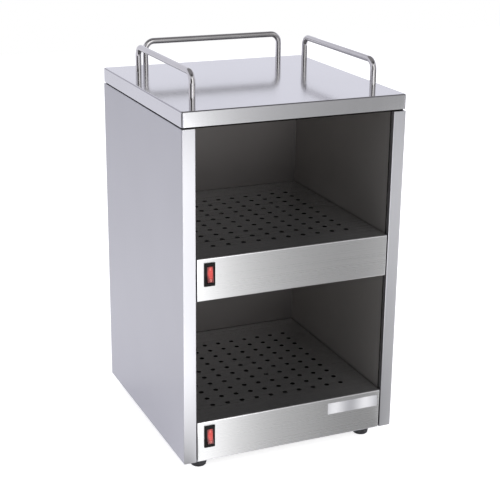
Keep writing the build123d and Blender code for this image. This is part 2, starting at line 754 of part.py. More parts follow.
# Blank badge plate on the lower fascia
badge_right = bay_half - badge_inset
badge_top = foot_clearance + fascia_height - badge_drop
with BuildPart() as badge_plate:
    block((badge_right - badge_width, badge_right), (front - badge_thickness, front),
          (badge_top - badge_height, badge_top))
    fillet(badge_plate.edges().filter_by(Axis.Y), badge_corner_radius)
save(badge_plate, "badge_plate")

# Feet: tapered rubber, each on a screw through the floor of the lower tray
foot_height = foot_clearance + sheet
for place, (x, y) in foot_points.items():
    with BuildPart() as foot:
        with BuildSketch(Plane.XZ.offset(-y)):
            with BuildLine():
                Polyline((x, 0), (x + foot_bottom / 2 - foot_edge, 0), (x + foot_bottom / 2, foot_edge),
                         (x + foot_top / 2, foot_height - foot_land), (x + foot_top / 2, foot_height),
                         (x, foot_height), (x, 0))
            make_face()
        revolve(axis=Axis((x, y, 0), UP))
        hole((x, y, 0), UP, foot_recess, foot_recess_depth)
        hole((x, y, 0), UP, m5 + hole_clearance, foot_height)
    save(foot, f"{place}_foot")

with BuildPart() as foot_screws:
    grip = foot_height - foot_recess_depth + sheet + m5_nut_height
    pan_screws([((x, y, foot_recess_depth), DOWN) for x, y in foot_points.values()],
               m5, grip + thread_end, m5_head, m5_head_height)
save(foot_screws, "foot_screws")

# Nuts of one size share a piece: ceiling, shelf, lip and earth screws; rail studs and foot screws
with BuildPart() as m4_nuts:
    nuts([((x, y, liner_high), DOWN) for x, y in ceiling_screw_points]
         + [((sign * (bay_half + sheet), y, z), (sign, 0, 0)) for sign in sides.values()
            for y, z in shelf_screw_points]
         + [((x, y, level + 2 * sheet), UP) for level in levels.values() for x, y in lip_screw_points]
         + [((earth_screw_x, wall_back, earth_screw_z), BACK)], m4, m4_nut, m4_nut_height)
save(m4_nuts, "m4_nuts")

with BuildPart() as m5_nuts:
    nuts([((x, y, lid_underside - washer_thickness), DOWN) for x, y in rail_points]
         + [((x, y, foot_height + sheet), UP) for x, y in foot_points.values()], m5, m5_nut, m5_nut_height)
save(m5_nuts, "m5_nuts")
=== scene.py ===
# %% [markdown]
# A countertop cup warmer: a stainless steel cabinet, open at the front, with two perforated warm
# shelves, a flat lid with three low rails, and a lit switch at the left end of each shelf's front.
# Nearly everything on it is the same sheet steel, so this lesson is about one metal in many finishes:
# brushed skins, bright bends, polished rod, heat-stained tube. The solid pieces come in from the CAD
# model with their real sizes, and each gets its finish here.

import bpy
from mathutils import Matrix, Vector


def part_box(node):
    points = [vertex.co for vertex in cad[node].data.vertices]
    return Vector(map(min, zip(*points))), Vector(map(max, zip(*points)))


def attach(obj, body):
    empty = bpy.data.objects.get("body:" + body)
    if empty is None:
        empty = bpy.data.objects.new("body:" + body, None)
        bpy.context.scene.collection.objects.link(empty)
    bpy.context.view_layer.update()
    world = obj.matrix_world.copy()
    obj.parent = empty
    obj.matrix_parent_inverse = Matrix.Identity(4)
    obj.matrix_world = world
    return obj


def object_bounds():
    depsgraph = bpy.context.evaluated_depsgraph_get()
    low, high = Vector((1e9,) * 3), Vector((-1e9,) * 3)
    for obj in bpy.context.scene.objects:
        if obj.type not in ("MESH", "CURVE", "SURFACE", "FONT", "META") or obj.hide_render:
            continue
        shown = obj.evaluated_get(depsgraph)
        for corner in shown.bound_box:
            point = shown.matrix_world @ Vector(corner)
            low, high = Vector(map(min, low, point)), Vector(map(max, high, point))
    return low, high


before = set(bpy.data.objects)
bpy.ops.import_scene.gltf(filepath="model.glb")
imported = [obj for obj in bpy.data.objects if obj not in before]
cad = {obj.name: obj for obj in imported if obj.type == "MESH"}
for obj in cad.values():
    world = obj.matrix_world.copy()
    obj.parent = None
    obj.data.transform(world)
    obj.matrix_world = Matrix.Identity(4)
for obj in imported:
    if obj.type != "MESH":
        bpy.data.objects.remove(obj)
cad_low, cad_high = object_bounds()
print(len(cad), "pieces,", [round(1000 * (h - l)) for l, h in zip(cad_low, cad_high)], "mm overall")

# %% [markdown]
# The camera stands where the photographer stood: a little to the left of the front and about 19 degrees
# above the shelves, with a long lens, which keeps the upright edges nearly parallel. Its place and its
# turn were solved from the cabinet's corners. The lens is given as so many pixels of focal length for a
# picture 500 pixels wide, and Blender wants that in millimetres of a 36 mm wide sensor.

# %% Photo camera
import math

import bpy
from mathutils import Matrix, Vector

PHOTO_PIXELS = 500
SENSOR_MM = 36.0
FOCAL_PIXELS = 1233.1
CAMERA_PLACE = Vector((-0.6375, -1.4665, 0.7816))
CAMERA_DEGREES = (-23.669, 18.704, 0.633)

azimuth, elevation, roll = (math.radians(angle) for angle in CAMERA_DEGREES)
backwards = Vector((math.sin(azimuth) * math.cos(elevation),
                    -math.cos(azimuth) * math.cos(elevation),
                    math.sin(elevation)))
level_right = (-backwards).cross(Vector((0, 0, 1))).normalized()
level_up = level_right.cross(-backwards)
right = math.cos(roll) * level_right + math.sin(roll) * level_up
up = math.cos(roll) * level_up - math.sin(roll) * level_right
camera_turn = Matrix((right, up, backwards)).transposed().to_4x4()

lens = bpy.data.cameras.new("photo_camera")
lens.sensor_width = SENSOR_MM
lens.lens = SENSOR_MM * FOCAL_PIXELS / PHOTO_PIXELS
camera = bpy.data.objects.new("photo_camera", lens)
camera.matrix_world = Matrix.Translation(CAMERA_PLACE) @ camera_turn
bpy.context.scene.collection.objects.link(camera)
bpy.context.scene.camera = camera
bpy.context.scene.view_settings.view_transform = "Standard"
print("lens", round(lens.lens, 1), "mm")

# %% [markdown]
# A material is a small graph of nodes. One helper adds a node, sets its properties, and either sets or
# links each of its inputs, so a whole finish reads as a list of what goes into what. Colours are written
# as the sRGB hex values that a colour chart would give, and one function turns them to the linear
# light that the renderer adds up.

# %% Colour and node helpers
def linear(hex_colour):
    """The linear RGBA of an sRGB hex colour such as #C8C8CC."""
    parts = [int(hex_colour[i:i + 2], 16) / 255 for i in (1, 3, 5)]
    return (*[p / 12.92 if p <= 0.04045 else ((p + 0.055) / 1.055) ** 2.4 for p in parts], 1.0)


def add(tree, kind, inputs=None, **settings):
    """Adds a node; an input given as another node's output is linked, any other value is set."""
    node = tree.nodes.new(kind)
    for name, value in settings.items():
        setattr(node, name, value)
    for name, value in (inputs or {}).items():
        if isinstance(value, bpy.types.NodeSocket):
            tree.links.new(value, node.inputs[name])
        else:
            node.inputs[name].default_value = value
    return node


def new_material(name):
    """An empty node material and its tree."""
    material = bpy.data.materials.new(name)
    material.use_nodes = True
    material.node_tree.nodes.clear()
    return material, material.node_tree


def finish_with(tree, shader):
    """Joins a shader to the material's output."""
    add(tree, "ShaderNodeOutputMaterial", {"Surface": shader.outputs[0]})


def fill_ramp(ramp, stops):
    """Sets a colour ramp's stops from pairs of a position and a hex colour, lowest first."""
    first, *between, last = stops
    for element, (position, colour) in zip(ramp.elements, (first, last)):
        element.position = position
        element.color = linear(colour)
    for position, colour in between:
        ramp.elements.new(position).color = linear(colour)


def seen_by_mirrors(tree, ray):
    """1 for a ray that bright metal or a clear lens has sent on, and 0 for any other."""
    return add(tree, "ShaderNodeMath",
               {0: ray.outputs["Is Glossy Ray"], 1: ray.outputs["Is Transmission Ray"]},
               operation="MAXIMUM").outputs[0]


print("grey card", [round(c, 3) for c in linear("#B9B9BE")])

# %% [markdown]
# A photo studio for bright metal is mostly white card: a white sweep under and behind the object, one
# large softbox at the front, and a darker room beyond it. Polished and brushed steel show little colour
# of their own, so what they mirror is what the eye reads. The world below is that room. The camera sees
# plain white. A mirror sees the white sweep behind, a grey ceiling, and in front, from the top down, a
# dark gap, a pale cloth and the dim room. The gap draws the two dark lines along the rear rail.
# Everything else is lit by an even pale light. Heights and turns are parts of a direction of length 1.

# %% The studio's room
ROOM_LIGHT = 0.60
ROOM_TINT = "#FAFAFF"
DIM_ROOM = "#5E5C5A"
GREY_CEILING = "#989799"
DARK_HEADER = "#454446"
FRONT_CLOTH = "#E6E6E8"
SWEEP_WHITE = "#FFFFFF"
SWEEP_IN_METAL = "#F5F5FF"
FRONT_BEGINS, FRONT_FULL = -0.10, -0.60
CEILING_BEGINS, CEILING_FULL = 0.42, 0.62
FRONT_WALL = ((0.32, DIM_ROOM), (0.45, FRONT_CLOTH), (0.66, FRONT_CLOTH),
              (0.76, DARK_HEADER), (0.93, DARK_HEADER), (0.985, GREY_CEILING))

world = bpy.data.worlds.new("studio_room")
bpy.context.scene.world = world
world.use_nodes = True
room = world.node_tree
room.nodes.clear()
ray = add(room, "ShaderNodeLightPath")
direction = add(room, "ShaderNodeTexCoord")
compass = add(room, "ShaderNodeSeparateXYZ", {"Vector": direction.outputs["Generated"]})
to_the_front = add(room, "ShaderNodeMapRange",
                   {"Value": compass.outputs["Y"], "From Min": FRONT_BEGINS, "From Max": FRONT_FULL},
                   interpolation_type="SMOOTHSTEP")
high_up = add(room, "ShaderNodeMapRange",
              {"Value": compass.outputs["Z"], "From Min": CEILING_BEGINS, "From Max": CEILING_FULL},
              interpolation_type="SMOOTHSTEP")
front_wall = add(room, "ShaderNodeValToRGB", {"Fac": compass.outputs["Z"]})
front_wall.color_ramp.interpolation = "EASE"
fill_ramp(front_wall.color_ramp, FRONT_WALL)
rear_part = add(room, "ShaderNodeMix",
                {"Factor": high_up.outputs[0], "A": linear(SWEEP_IN_METAL), "B": linear(GREY_CEILING)},
                data_type="RGBA")
room_picture = add(room, "ShaderNodeMix",
                   {"Factor": to_the_front.outputs[0], "A": rear_part.outputs[2], "B": front_wall.outputs[0]},
                   data_type="RGBA")
pale_light = add(room, "ShaderNodeBackground", {"Color": linear(ROOM_TINT), "Strength": ROOM_LIGHT})
mirrored = add(room, "ShaderNodeBackground", {"Color": room_picture.outputs[2], "Strength": 1.0})
plain_white = add(room, "ShaderNodeBackground", {"Color": linear(SWEEP_WHITE), "Strength": 1.0})
lit_or_mirrored = add(room, "ShaderNodeMixShader",
                      {0: seen_by_mirrors(room, ray), 1: pale_light.outputs[0], 2: mirrored.outputs[0]})
whole_room = add(room, "ShaderNodeMixShader",
                 {0: ray.outputs["Is Camera Ray"], 1: lit_or_mirrored.outputs[0],
                  2: plain_white.outputs[0]})
add(room, "ShaderNodeOutputWorld", {"Surface": whole_room.outputs[0]})
print("room light", ROOM_LIGHT, "and", len(FRONT_WALL), "heights in front")

# %% [markdown]
# The softboxes are large area lamps that stand outside the picture. The front one is to the right of the
# camera and lights the shelf fronts. The top one lights the lid and the rails. Mirrors don't see the top
# one, because it would show as a bright patch in the flat lid. Each lamp is placed by compass angle,
# height angle and distance from the middle of the cabinet, and aimed at it.

# %% Softboxes
CABINET_MIDDLE = Vector((0, 0, 0.25))


def softbox(name, compass_angle, height_angle, distance, width, height, brightness):
    """An area lamp; brightness is what its face shows in a mirror, where 1 is white."""
    lamp = bpy.data.lights.new(name, "AREA")
    lamp.shape = "RECTANGLE"
    lamp.size, lamp.size_y = width, height
    lamp.energy = brightness * width * height * math.pi
    turn, tilt = math.radians(compass_angle), math.radians(height_angle)
    away = Vector((math.sin(turn) * math.cos(tilt), -math.cos(turn) * math.cos(tilt), math.sin(tilt)))
    holder = bpy.data.objects.new(name, lamp)
    holder.location = CABINET_MIDDLE + away * distance
    holder.rotation_mode = "QUATERNION"
    holder.rotation_quaternion = (-away).to_track_quat("-Z", "Y")
    holder.visible_camera = False
    bpy.context.scene.collection.objects.link(holder)
    return holder


front_softbox = softbox("front_softbox", compass_angle=5, height_angle=14, distance=1.8,
                        width=1.2, height=1.25, brightness=2.8)
top_softbox = softbox("top_softbox", compass_angle=60, height_angle=72, distance=1.6,
                      width=1.7, height=1.3, brightness=1.6)
top_softbox.visible_glossy = False
print("front softbox at", [round(v, 2) for v in front_softbox.location])

# %% [markdown]
# What draws the fade on the shelf fronts, from near white to mid grey, is a card. The steel's grain runs
# across, so it smears a reflection up and down but keeps it sharp sideways, and each place along a shelf
# front shows its own strip of the card. The tone falls from bright on the left to grey at the cabinet's
# right side and rises again past it. It does so in a fan that opens from a point behind the cabinet, so
# that the lid's edge and both shelf fronts show the same fade although they reflect different parts of
# it. The upright part, which the lid's edge mirrors, is softer, because that edge is the smoothest metal.
# The front edges of the side panels mirror the card beside what the shelves mirror: grey near the floor
# and white higher up on the left, and a little lighter than the shelves on the right.

# %% The card's tone
FAN_POINT = (-0.6375, 1.1615)
CARD_BRIGHTEST = 3.0
CARD_FADE = ((0.193, 3.00), (0.351, 2.80), (0.388, 1.80), (0.409, 1.44), (0.4405, 0.94),
             (0.4826, 0.62), (0.5826, 0.40), (0.635, 0.62), (0.825, 1.50))
(FIRST_SLOPE, FIRST_TONE), (LAST_SLOPE, LAST_TONE) = CARD_FADE[0], CARD_FADE[-1]
LEFT_FLANGE, RIGHT_FLANGE = 0.3845, 0.5855
STRIP_BLUR = 0.001
UNDER_LID = 0.205
LYING_BELOW = 0.05
SOFTER_SHARE, SOFTER_BASE = 0.48, 0.27
STANDING_LEFT = 1.18

# Each level is a factor on the fade: the Y where it starts, the Y where it ends, its value at each.
LEFT_LEVEL = (-0.165, -0.455, 0.22, 1.09)
MIDDLE_LEVEL = (-0.45, -0.70, 1.04, 0.90)
RIGHT_LEVEL = (-0.18, -0.60, 2.05, 1.62)

graded, tree = new_material("graded_card")
place = add(tree, "ShaderNodeTexCoord")
spot = add(tree, "ShaderNodeSeparateXYZ", {"Vector": place.outputs["Object"]})
aside = add(tree, "ShaderNodeMath", {0: spot.outputs["X"], 1: FAN_POINT[0]}, operation="SUBTRACT")
ahead = add(tree, "ShaderNodeMath", {0: FAN_POINT[1], 1: spot.outputs["Y"]}, operation="SUBTRACT")
fan = add(tree, "ShaderNodeMath", {0: aside.outputs[0], 1: ahead.outputs[0]}, operation="DIVIDE")
low = add(tree, "ShaderNodeMath", {0: spot.outputs["Z"], 1: UNDER_LID}, operation="LESS_THAN")


def card_level(starts, ends, first_value, last_value):
    """A factor that runs from one value to another with the distance from the cabinet."""
    return add(tree, "ShaderNodeMapRange",
               {"Value": spot.outputs["Y"], "From Min": starts, "From Max": ends,
                "To Min": first_value, "To Max": last_value}).outputs[0]


def flange_strip(slope, outwards):
    """1 past a slope of the fan and under the lid's part; outwards is -1 for the left and 1 for the right."""
    past = add(tree, "ShaderNodeMapRange",
               {"Value": fan.outputs[0], "From Min": slope - outwards * STRIP_BLUR,
                "From Max": slope + outwards * STRIP_BLUR})
    return add(tree, "ShaderNodeMath", {0: past.outputs[0], 1: low.outputs[0]},
               operation="MULTIPLY").outputs[0]


def by_strip(left, middle, right):
    """The middle's value, with the left's and the right's laid over it in their strips."""
    value = middle
    for strip, inside in ((left_strip, left), (right_strip, right)):
        value = add(tree, "ShaderNodeMix", {"Factor": strip, "A": value, "B": inside},
                    data_type="FLOAT").outputs[0]
    return value


along_fade = add(tree, "ShaderNodeMapRange",
                 {"Value": fan.outputs[0], "From Min": FIRST_SLOPE, "From Max": LAST_SLOPE})
fade = add(tree, "ShaderNodeFloatCurve", {"Value": along_fade.outputs[0]})
curve = fade.mapping.curves[0]
curve.points[0].location = (0, FIRST_TONE / CARD_BRIGHTEST)
curve.points[1].location = (1, LAST_TONE / CARD_BRIGHTEST)
for slope, tone in CARD_FADE[1:-1]:
    curve.points.new((slope - FIRST_SLOPE) / (LAST_SLOPE - FIRST_SLOPE), tone / CARD_BRIGHTEST)
fade.mapping.update()

left_strip = flange_strip(LEFT_FLANGE, -1)
right_strip = flange_strip(RIGHT_FLANGE, 1)
level = by_strip(card_level(*LEFT_LEVEL), card_level(*MIDDLE_LEVEL), card_level(*RIGHT_LEVEL))
full = add(tree, "ShaderNodeMath", {0: fade.outputs[0], 1: CARD_BRIGHTEST}, operation="MULTIPLY")
lying = add(tree, "ShaderNodeMath", {0: full.outputs[0], 1: level}, operation="MULTIPLY")
softer = add(tree, "ShaderNodeMath", {0: full.outputs[0], 1: SOFTER_SHARE, 2: SOFTER_BASE},
             operation="MULTIPLY_ADD")
stronger = add(tree, "ShaderNodeMath", {0: lying.outputs[0], 1: STANDING_LEFT}, operation="MULTIPLY")
standing = by_strip(stronger.outputs[0], softer.outputs[0], lying.outputs[0])
upright = add(tree, "ShaderNodeMath", {0: spot.outputs["Z"], 1: LYING_BELOW}, operation="GREATER_THAN")
card_tone = add(tree, "ShaderNodeMix",
                {"Factor": upright.outputs[0], "A": lying.outputs[0], "B": standing}, data_type="FLOAT")
finish_with(tree, add(tree, "ShaderNodeEmission",
                      {"Color": linear("#FFFFFF"), "Strength": card_tone.outputs[0]}))
print("the card's tone in", len(CARD_FADE), "steps from", FIRST_TONE, "to", LAST_TONE)

# %% [markdown]
# The card is two flat faces that share an edge: one lies on the floor in front of the cabinet, and the
# other stands up a metre away, outside the picture. Only mirrors see it. Its right side follows the last
# slope of the fan. Its left side is straight and stops a hand's breadth past the cabinet's left side,
# so that the left side panel hardly mirrors it.

# %% The card's shape
CARD_NEAR, CARD_FAR, CARD_TOP = -0.160, -1.15, 1.30
OFF_THE_FLOOR = 0.002
HAND_BREADTH = 0.10


def on_last_slope(y, z):
    """A point of the card's right side."""
    return (FAN_POINT[0] + LAST_SLOPE * (FAN_POINT[1] - y), y, z)


card_left = cad_low[0] - HAND_BREADTH
card_corners = []
for y, z in ((CARD_NEAR, OFF_THE_FLOOR), (CARD_FAR, OFF_THE_FLOOR), (CARD_FAR, CARD_TOP)):
    card_corners += [(card_left, y, z), on_last_slope(y, z)]
card_mesh = bpy.data.meshes.new("graded_card")
card_mesh.from_pydata(card_corners, [], [(0, 1, 3, 2), (2, 3, 5, 4)])
card_mesh.materials.append(graded)
card = bpy.data.objects.new("graded_card", card_mesh)
for seen_by in ("visible_camera", "visible_diffuse", "visible_transmission", "visible_volume_scatter",
                "visible_shadow"):
    setattr(card, seen_by, False)
bpy.context.scene.collection.objects.link(card)
print("card from", [round(v, 2) for v in card_corners[0]], "to", [round(v, 2) for v in card_corners[5]])

# %% [markdown]
# The floor is white paper. It has to read as pure white next to the steel and still hold the small
# shadow where the feet stand, so it is an ordinary matt paper with a little light of its own that only
# the camera and mirrors see. Mirrors see that light a quarter stronger from the cabinet's left side
# inwards. The paper is 3.4 m wide where it lies in front. Past its sides the mirrors see the dark floor
# of the studio, which draws the dark lines down the rails' round posts.

# %% Paper floor
FLOOR_HALF = 3.0
FIBRES_PER_METRE = 240.0
CAMERA_GLOW, MIRROR_GLOW = 0.72, 0.42
PAPER_IN_METAL = "#EAE9F8"
LEFT_OF_CABINET, UNDER_CABINET = -0.34, -0.16
CABINET_GLOW = 1.25
PAPER_HALF_WIDTH = 1.7
FRONT_ENDS = 0.1
STUDIO_FLOOR = "#4A4847"

paper, tree = new_material("white_sweep_paper")
ray = add(tree, "ShaderNodeLightPath")
place = add(tree, "ShaderNodeTexCoord")
spot = add(tree, "ShaderNodeSeparateXYZ", {"Vector": place.outputs["Object"]})
in_mirrors = seen_by_mirrors(tree, ray)
fibre = add(tree, "ShaderNodeTexNoise", {"Scale": FIBRES_PER_METRE, "Detail": 3.0})
tone = add(tree, "ShaderNodeMapRange", {"Value": fibre.outputs["Fac"], "To Min": 0.90, "To Max": 0.93})
matt = add(tree, "ShaderNodeBsdfDiffuse", {"Color": tone.outputs[0]})
near_glow = add(tree, "ShaderNodeMapRange",
                {"Value": spot.outputs["X"], "From Min": LEFT_OF_CABINET, "From Max": UNDER_CABINET,
                 "To Min": MIRROR_GLOW, "To Max": CABINET_GLOW * MIRROR_GLOW})
mirror_part = add(tree, "ShaderNodeMath", {0: in_mirrors, 1: near_glow.outputs[0]}, operation="MULTIPLY")
camera_part = add(tree, "ShaderNodeMath", {0: ray.outputs["Is Camera Ray"], 1: CAMERA_GLOW},
                  operation="MULTIPLY")
strength = add(tree, "ShaderNodeMath", {0: mirror_part.outputs[0], 1: camera_part.outputs[0]},
               operation="ADD")
tint = add(tree, "ShaderNodeMix",
           {"Factor": in_mirrors, "A": linear("#FFFFFF"), "B": linear(PAPER_IN_METAL)}, data_type="RGBA")
glow = add(tree, "ShaderNodeEmission", {"Color": tint.outputs[2], "Strength": strength.outputs[0]})
lit = add(tree, "ShaderNodeAddShader", {0: matt.outputs[0], 1: glow.outputs[0]})
aside = add(tree, "ShaderNodeMath", {0: spot.outputs["X"]}, operation="ABSOLUTE")
past_the_side = add(tree, "ShaderNodeMath", {0: aside.outputs[0], 1: PAPER_HALF_WIDTH},
                    operation="GREATER_THAN")
in_front = add(tree, "ShaderNodeMath", {0: spot.outputs["Y"], 1: FRONT_ENDS}, operation="LESS_THAN")
beside = add(tree, "ShaderNodeMath", {0: past_the_side.outputs[0], 1: in_front.outputs[0]},
             operation="MULTIPLY")
unlit = add(tree, "ShaderNodeMath", {0: beside.outputs[0], 1: in_mirrors}, operation="MULTIPLY")
studio_floor = add(tree, "ShaderNodeEmission", {"Color": linear(STUDIO_FLOOR), "Strength": 1.0})
finish_with(tree, add(tree, "ShaderNodeMixShader",
                      {0: unlit.outputs[0], 1: lit.outputs[0], 2: studio_floor.outputs[0]}))

corners = [(-FLOOR_HALF, -FLOOR_HALF, 0), (FLOOR_HALF, -FLOOR_HALF, 0),
           (FLOOR_HALF, FLOOR_HALF, 0), (-FLOOR_HALF, FLOOR_HALF, 0)]
sheet_mesh = bpy.data.meshes.new("paper_floor")
sheet_mesh.from_pydata(corners, [], [(0, 1, 2, 3)])
sheet_mesh.materials.append(paper)
floor = bpy.data.objects.new("paper_floor", sheet_mesh)
bpy.context.scene.collection.objects.link(floor)
print("floor", 2 * FLOOR_HALF, "m square")

# %% [markdown]
# The cabinet's skins are AISI 304 stainless sheet with a satin finish: the mill draws it under a belt of
# about 180 grit, which leaves parallel scratches 0.05 to 0.1 mm wide. To the eye that gives a grey with
# long faint straight streaks, a soft reflection stretched across the grain, and nearly none of the
# metal's own mirror. The streaks are drawn 0.9 mm wide here, because the real ones are finer than a
# pixel, and over a metre long, so that they stay dead straight from edge to edge.

# %% Belt grain
GRAIN_WIDTH = 0.0009
GRAIN_LENGTH = 1.5


def grain_pattern(tree, place, along, width, length):
    """Noise drawn out along one axis, as a belt's scratches are."""
    stretch = tuple(1 / length if axis == along else 1 / width for axis in "XYZ")
    stretched = add(tree, "ShaderNodeMapping", {"Vector": place, "Scale": stretch})
    return add(tree, "ShaderNodeTexNoise",
               {"Vector": stretched.outputs[0], "Scale": 1.0, "Detail": 3.0, "Roughness": 0.6}).outputs["Fac"]


print("grain", 1000 * GRAIN_WIDTH, "mm wide and", GRAIN_LENGTH, "m long")

# %% [markdown]
# Folding and punching leave places where the flat finish alone doesn't give the light and shade they
# show, so these are painted. The shelves' front bends get a painted highlight, and the lid's bends a
# darker painted reflection. The bend of a lining stands in the shade of the gap round the shelf and gets
# painted shade, and the walls of the punched holes and the rims in the gap under the lid get near-black
# painted shade. Each of these is picked out by where its faces look, because the CAD sheet is one solid
# with one finish.

# %% Painted light and shade on bends, lips and cut walls
FACES_FORWARD = -0.12
LOOKS_SIDEWAYS = 0.9
# Painted shade for a lining's lip in the gap round the shelf.
PAINTED_LIP_SHADE = "#151312"
# Near-black painted shade for the walls of punched holes and the rims in gaps.
PAINTED_WALL_SHADE = "#0E0C0B"
ANY_WAY = 1.50
WHOLE_PIECE = -1.0

# A painted bend, highlight or shade, is its colour, how far its normal rises, by how much that may
# differ, and the most that the normal's Y may be. No normal is longer than 1, so ANY_WAY takes in
# bends that look any way.
PAINTED_BRIGHT_BEND = ("#F6F6F7", 0.55, 0.42, -0.20)
PAINTED_DARK_BEND = ("#98969B", 0.62, 0.26, ANY_WAY)


def paint_bend(tree, normal, paint, colour, rise, spread, most_y):
    """Paints a highlight or shade on faces whose normal rises by about so much and looks forward enough."""
    turned = add(tree, "ShaderNodeSeparateXYZ", {"Vector": normal})
    rising = add(tree, "ShaderNodeMath", {0: turned.outputs["Z"], 1: rise, 2: spread}, operation="COMPARE")
    forward = add(tree, "ShaderNodeMath", {0: turned.outputs["Y"], 1: most_y}, operation="LESS_THAN")
    bend = add(tree, "ShaderNodeMath", {0: rising.outputs[0], 1: forward.outputs[0]}, operation="MULTIPLY")
    return add(tree, "ShaderNodeMix", {"Factor": bend.outputs[0], "A": paint, "B": linear(colour)},
               data_type="RGBA").outputs[2]


def paint_lip_shade(tree, normal, paint):
    """Paints shade on the faces that look forward: a lining's bend, which stands in the shade of the gap."""
    turned = add(tree, "ShaderNodeSeparateXYZ", {"Vector": normal})
    forward = add(tree, "ShaderNodeMath", {0: turned.outputs["Y"], 1: FACES_FORWARD}, operation="LESS_THAN")
    return add(tree, "ShaderNodeMix", {"Factor": forward.outputs[0], "A": paint, "B": linear(PAINTED_LIP_SHADE)},
               data_type="RGBA").outputs[2]


def paint_wall_shade(tree, normal, spot, paint, behind):
    """Paints near-black shade on sideways faces behind this Y: walls of punched holes, rims in a gap."""
    turned = add(tree, "ShaderNodeSeparateXYZ", {"Vector": normal})
    upward = add(tree, "ShaderNodeMath", {0: turned.outputs["Z"]}, operation="ABSOLUTE")
    sideways = add(tree, "ShaderNodeMath", {0: upward.outputs[0], 1: LOOKS_SIDEWAYS}, operation="LESS_THAN")
    position = add(tree, "ShaderNodeSeparateXYZ", {"Vector": spot})
    inside = add(tree, "ShaderNodeMath", {0: position.outputs["Y"], 1: behind}, operation="GREATER_THAN")
    wall = add(tree, "ShaderNodeMath", {0: sideways.outputs[0], 1: inside.outputs[0]}, operation="MULTIPLY")
    return add(tree, "ShaderNodeMix", {"Factor": wall.outputs[0], "A": paint, "B": linear(PAINTED_WALL_SHADE)},
               data_type="RGBA").outputs[2]


print("bends tinted", PAINTED_BRIGHT_BEND[0], "on the shelves and", PAINTED_DARK_BEND[0], "on the lid")

# %% [markdown]
# Where a sheet is folded, the grain goes over the fold with it, so a face that looks along the grain takes
# the pattern of the next face. The scratches do three things at once: they tint the metal a little, they
# change how rough it is, and they turn the reflection across the grain, which is the shader's
# anisotropy. Broad clouds, a hand long, are the marks that wiping leaves.

# %% Satin stainless
AXES = {"X": (1, 0, 0), "Y": (0, 1, 0), "Z": (0, 0, 1)}
LOOKS_ALONG_GRAIN = 0.7
CLOUDS_PER_METRE = 9.0
ROUGHNESS_SWING = 0.02
SCRATCH_RELIEF, SCRATCH_DEPTH = 0.012, 0.00005


def satin_stainless(name, colour, grain, folded_grain, roughness, anisotropy=0.7, streak=0.012,
                    width=GRAIN_WIDTH, length=GRAIN_LENGTH, cloud=0.015, wall_shade_behind=None, bend=None,
                    lip=False, metallic=1.0):
    """Brushed 304 sheet: grain along one axis, and along another on faces that look down the first."""
    material, tree = new_material(name)
    place = add(tree, "ShaderNodeTexCoord")
    spot, normal = place.outputs["Object"], place.outputs["Normal"]
    facing = add(tree, "ShaderNodeVectorMath", {0: normal, 1: AXES[grain]}, operation="DOT_PRODUCT")
    end_on = add(tree, "ShaderNodeMath", {0: facing.outputs["Value"]}, operation="ABSOLUTE")
    folded = add(tree, "ShaderNodeMath", {0: end_on.outputs[0], 1: LOOKS_ALONG_GRAIN},
                 operation="GREATER_THAN")
    main = grain_pattern(tree, spot, grain, width, length)
    other = grain_pattern(tree, spot, folded_grain, width, length)
    scratches = add(tree, "ShaderNodeMix", {"Factor": folded.outputs[0], "A": main, "B": other},
                    data_type="FLOAT")
    clouds = add(tree, "ShaderNodeTexNoise", {"Vector": spot, "Scale": CLOUDS_PER_METRE, "Detail": 2.0})
    light = add(tree, "ShaderNodeMapRange",
                {"Value": scratches.outputs[0], "From Min": 0.25, "From Max": 0.75,
                 "To Min": 1 - streak, "To Max": 1 + streak})
    broad = add(tree, "ShaderNodeMapRange",
                {"Value": clouds.outputs["Fac"], "From Min": 0.3, "From Max": 0.7,
                 "To Min": 1 - cloud, "To Max": 1 + cloud})
    tone = add(tree, "ShaderNodeMath", {0: light.outputs[0], 1: broad.outputs[0]}, operation="MULTIPLY")
    toned = add(tree, "ShaderNodeVectorMath", {0: linear(colour)[:3], "Scale": tone.outputs[0]},
                operation="SCALE")
    paint = toned.outputs[0]
    # Painted light and shade: a highlight or a dark reflection on bends, shade on a lining's lip, near-black
    # shade on walls.
    if bend:
        paint = paint_bend(tree, normal, paint, *bend)
    if lip:
        paint = paint_lip_shade(tree, normal, paint)
    if wall_shade_behind is not None:
        paint = paint_wall_shade(tree, normal, spot, paint, wall_shade_behind)
    rough = add(tree, "ShaderNodeMapRange",
                {"Value": scratches.outputs[0], "From Min": 0.2, "From Max": 0.8,
                 "To Min": roughness - ROUGHNESS_SWING, "To Max": roughness + ROUGHNESS_SWING})
    bump = add(tree, "ShaderNodeBump",
               {"Height": scratches.outputs[0], "Strength": SCRATCH_RELIEF, "Distance": SCRATCH_DEPTH})
    # Inputs 4 and 5 are the mix node's A and B for vectors.
    along = add(tree, "ShaderNodeMix", {"Factor": folded.outputs[0], 4: AXES[grain], 5: AXES[folded_grain]},
                data_type="VECTOR")
    across = add(tree, "ShaderNodeVectorMath", {0: along.outputs[1], 1: normal}, operation="CROSS_PRODUCT")
    metal = add(tree, "ShaderNodeBsdfPrincipled",
                {"Base Color": paint, "Metallic": metallic, "Roughness": rough.outputs[0],
                 "Anisotropic": anisotropy, "Tangent": across.outputs[0], "Normal": bump.outputs[0]})
    finish_with(tree, metal)
    return material


# Behind a shelf's front bend, the sideways walls of the punched holes get painted shade.
BEHIND_THE_BEND = 0.003
shelf_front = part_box("lower_shelf_deck")[0][1]
side_skin_steel = satin_stainless("satin_stainless_side_skin", "#B5B5B9", grain="Z", folded_grain="Y",
                                  roughness=0.30)
# The lid's bends get a darker painted reflection.
lid_steel = satin_stainless("satin_stainless_lid", "#CACACD", grain="Y", folded_grain="Z",
                            roughness=0.13, anisotropy=0.1, streak=0.008, bend=PAINTED_DARK_BEND)
